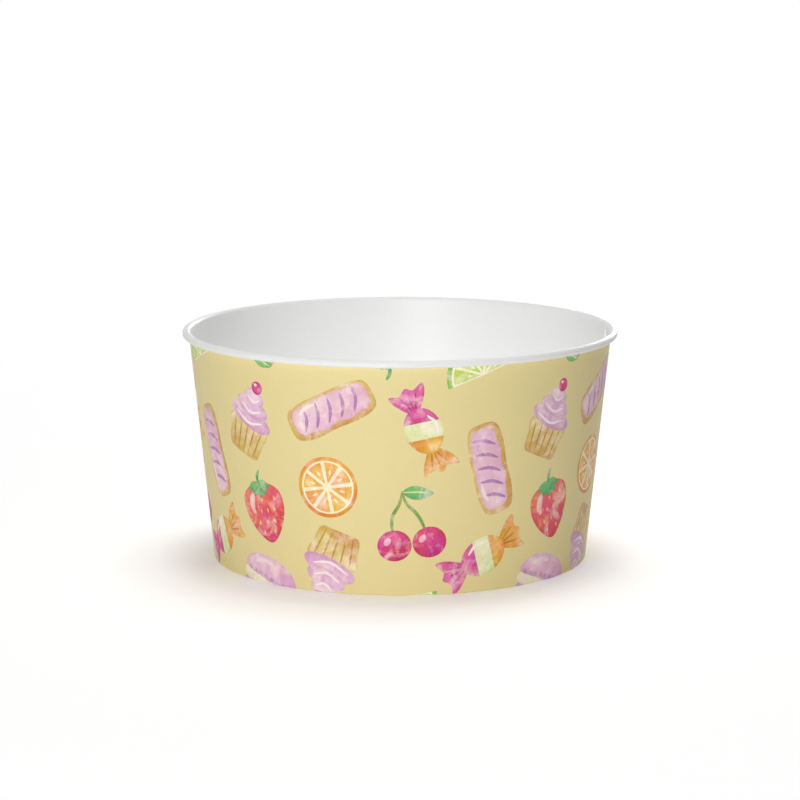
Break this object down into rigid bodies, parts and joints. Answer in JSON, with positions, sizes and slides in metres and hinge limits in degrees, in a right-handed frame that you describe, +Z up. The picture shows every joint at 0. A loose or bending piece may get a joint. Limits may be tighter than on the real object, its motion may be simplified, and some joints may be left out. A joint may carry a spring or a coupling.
{
  "type": "paper dessert cup",
  "caption": "Shallow round paper tub for ice cream or dessert, with a rolled rim, a tapered printed wall with a lap seam, and a recessed base.",
  "frame": {"origin": "on the table the cup stands on, at the centre of the foot", "axes": "+Z up along the cup's axis to the open rim; -Y is the side the picture shows; the lap seam is near +X, a little to the +Y side"},
  "size_m": [0.15, 0.15, 0.0797],
  "materials": {
    "printed_board": "satin",
    "white_board": "satin"
  },
  "bodies": {
    "root": {"sidewall": "printed_board", "base_disc": "white_board"}
  },
  "joints": []
}
